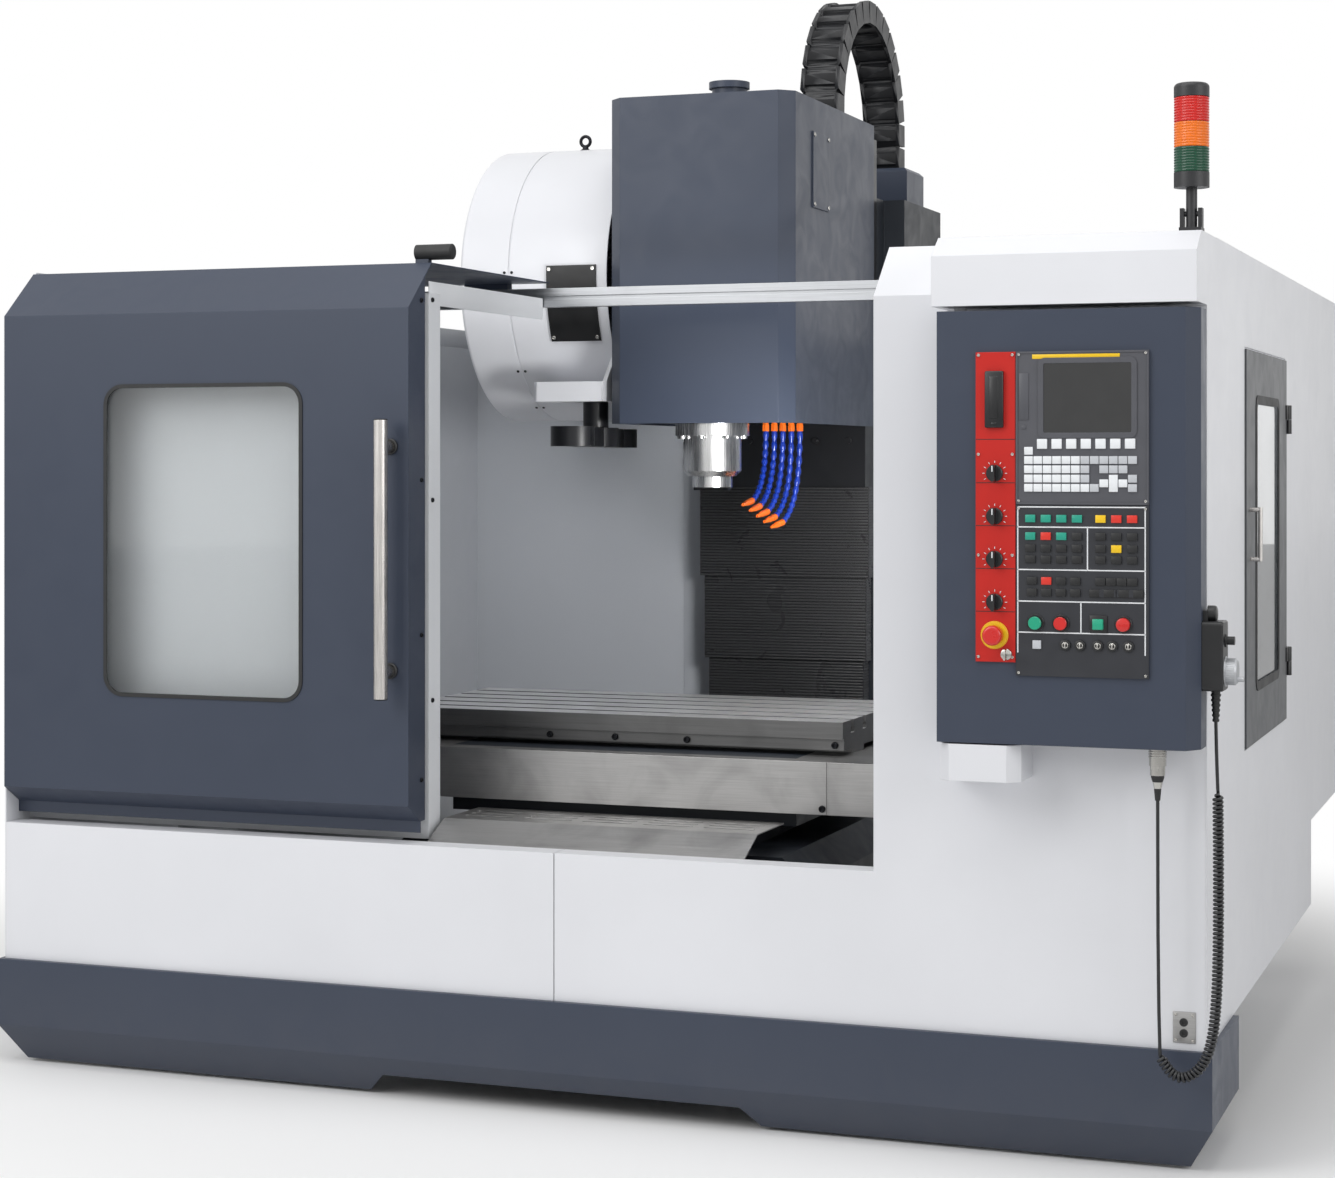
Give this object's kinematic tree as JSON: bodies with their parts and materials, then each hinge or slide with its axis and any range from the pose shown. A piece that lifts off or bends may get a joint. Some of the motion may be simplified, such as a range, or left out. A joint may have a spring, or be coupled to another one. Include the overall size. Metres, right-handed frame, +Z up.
{
  "type": "machining center",
  "caption": "Vertical machining center with a sliding front door, T-slot table, moving head, drum tool magazine and swivelling control.",
  "frame": {"origin": "centre of the bounding box at floor level", "axes": "+X to the operator's right along the table, +Y to the back, +Z up"},
  "size_m": [2.924, 2.6672, 2.7333],
  "materials": {
    "white_paint": "satin powder coat",
    "slate_paint": "fine textured powder coat",
    "pale_grey_paint": "satin powder coat",
    "dark_grey_paint": "satin powder coat",
    "casting_paint": "machine enamel on casting",
    "black_paint": "satin black enamel",
    "ground_iron": "ground face",
    "ground_steel": "ground and oiled",
    "stainless": "brushed sheet",
    "aluminium": "anodised extrusion",
    "window": "clear safety pane",
    "screen": "dark display glass",
    "dark_window": "smoked sheet",
    "black_plastic": "moulded, fine grain",
    "chain_plastic": "glass-filled nylon",
    "panel_plastic": "printed membrane",
    "red_panel": "printed panel",
    "hose_plastic": "moulded acetal segments",
    "stop_red": "moulded",
    "start_green": "moulded",
    "lens_plastic": "ribbed clear lens in three colours",
    "cord_rubber": "curly cord sheath",
    "plug_steel": "nickel plated"
  },
  "bodies": {
    "machine": {"bed_casting": "casting_paint", "levelling_feet": "ground_steel", "column": "casting_paint", "skirt": "slate_paint", "front_panel_left": "white_paint", "front_panel_right": "white_paint", "left_side_panel": "white_paint", "right_side_panel": "white_paint", "electrical_cabinet": "white_paint", "door_pocket_panel": "pale_grey_paint", "door_rail": "aluminium", "sill_tray": "stainless", "chamber_lining": "pale_grey_paint", "z_guard_fixed": "black_paint", "magazine_cover": "white_paint", "magazine_port": "dark_window", "magazine_bracket": "white_paint", "chain_box": "slate_paint", "control_hood": "white_paint", "control_bracket": "white_paint", "tower_mast": "black_plastic", "tower_lenses": "lens_plastic"},
    "door": {"door": "slate_paint", "door_window": "window", "door_handle": "stainless"},
    "side_door": {"side_door": "dark_grey_paint", "side_pull": "stainless", "side_window": "window"},
    "cabinet_door": {"cabinet_door": "white_paint"},
    "saddle": {"saddle": "casting_paint", "saddle_guard": "stainless"},
    "table": {"table": "ground_iron"},
    "head": {"head_casting": "black_paint", "spindle_cartridge": "ground_steel", "head_cover": "slate_paint", "coolant_hoses": "hose_plastic", "z_guard_upper": "black_paint", "cable_chain": "chain_plastic"},
    "spindle": {"spindle": "ground_steel"},
    "z_guard_second": {"z_guard_second": "black_paint"},
    "z_guard_third": {"z_guard_third": "black_paint"},
    "tool_disc": {"tool_disc": "ground_steel"},
    "tool_arm": {"tool_arm": "black_paint"},
    "control": {"control_box": "slate_paint", "screen_unit": "panel_plastic", "screen_glass": "screen", "operator_panel": "panel_plastic", "switch_strip": "red_panel", "pendant": "black_plastic", "cord_coil": "cord_rubber", "cord_leads": "cord_rubber", "cord_plug": "plug_steel"},
    "mode_knob": {"mode_knob": "black_plastic"},
    "rapid_knob": {"rapid_knob": "black_plastic"},
    "feed_knob": {"feed_knob": "black_plastic"},
    "speed_knob": {"speed_knob": "black_plastic"},
    "emergency_stop": {"emergency_stop": "stop_red"},
    "start_button": {"start_button": "start_green"},
    "hold_button": {"hold_button": "stop_red"},
    "pendant_wheel": {"pendant_wheel": "aluminium"}
  },
  "joints": [
    {"name": "door_slide", "type": "slide", "parent": "machine", "child": "door", "axis": [1, 0, 0], "range_m": [0, 1.068]},
    {"name": "side_door_swing", "type": "hinge", "parent": "machine", "child": "side_door", "pos_m": [1.3893, 0.12165, 1.2], "axis": [0, 0, 1], "range_deg": [0, 110]},
    {"name": "cabinet_door_swing", "type": "hinge", "parent": "machine", "child": "cabinet_door", "pos_m": [0.686, 1.32265, 1.18], "axis": [0, 0, 1], "range_deg": [0, 100]},
    {"name": "saddle_y", "type": "slide", "parent": "machine", "child": "saddle", "axis": [0, 1, 0], "range_m": [0, 0.58]},
    {"name": "table_x", "type": "slide", "parent": "saddle", "child": "table", "axis": [1, 0, 0], "range_m": [-0.332, 0.428]},
    {"name": "head_z", "type": "slide", "parent": "machine", "child": "head", "axis": [0, 0, 1], "range_m": [-0.412, 0.188], "deforming": ["cable_chain"]},
    {"name": "spindle_spin", "type": "hinge", "parent": "head", "child": "spindle", "pos_m": [-0.034, -0.11635, 1.366], "axis": [0, 0, 1], "continuous": true},
    {"name": "z_guard_second_slide", "type": "slide", "parent": "machine", "child": "z_guard_second", "axis": [0, 0, 1], "range_m": [-0.276, 0.127]},
    {"name": "z_guard_third_slide", "type": "slide", "parent": "machine", "child": "z_guard_third", "axis": [0, 0, 1], "range_m": [-0.139, 0.064]},
    {"name": "magazine_turn", "type": "hinge", "parent": "machine", "child": "tool_disc", "pos_m": [-0.524, 0.22365, 1.917], "axis": [1, 0, 0], "continuous": true},
    {"name": "arm_swing", "type": "hinge", "parent": "machine", "child": "tool_arm", "pos_m": [-0.357, -0.11635, 1.5], "axis": [0, 0, 1], "range_deg": [-12, 43]},
    {"name": "control_swivel", "type": "hinge", "parent": "machine", "child": "control", "pos_m": [0.896, -1.24385, 1.3], "axis": [0, 0, -1], "range_deg": [0, 60]},
    {"name": "mode_knob_turn", "type": "hinge", "parent": "control", "child": "mode_knob", "pos_m": [0.981, -1.30235, 1.408], "axis": [0, 1, 0], "range_deg": [-90, 90]},
    {"name": "rapid_knob_turn", "type": "hinge", "parent": "control", "child": "rapid_knob", "pos_m": [0.981, -1.30235, 1.322], "axis": [0, 1, 0], "range_deg": [-60, 60]},
    {"name": "feed_knob_turn", "type": "hinge", "parent": "control", "child": "feed_knob", "pos_m": [0.981, -1.30235, 1.236], "axis": [0, 1, 0], "range_deg": [-135, 135]},
    {"name": "speed_knob_turn", "type": "hinge", "parent": "control", "child": "speed_knob", "pos_m": [0.981, -1.30235, 1.15], "axis": [0, 1, 0], "range_deg": [-90, 135]},
    {"name": "emergency_stop_press", "type": "slide", "parent": "control", "child": "emergency_stop", "axis": [0, 1, 0], "range_m": [0, 0.005], "stiffness_N_per_m": 900},
    {"name": "start_press", "type": "slide", "parent": "control", "child": "start_button", "axis": [0, 1, 0], "range_m": [0, 0.004], "stiffness_N_per_m": 500},
    {"name": "hold_press", "type": "slide", "parent": "control", "child": "hold_button", "axis": [0, 1, 0], "range_m": [0, 0.004], "stiffness_N_per_m": 500},
    {"name": "pendant_wheel_turn", "type": "hinge", "parent": "control", "child": "pendant_wheel", "pos_m": [1.436, -1.21935, 1.017], "axis": [1, 0, 0], "continuous": true}
  ],
  "couplings": [
    {"joint": "z_guard_second_slide", "follows": "head_z", "ratio": 0.66667},
    {"joint": "z_guard_third_slide", "follows": "head_z", "ratio": 0.33333}
  ]
}
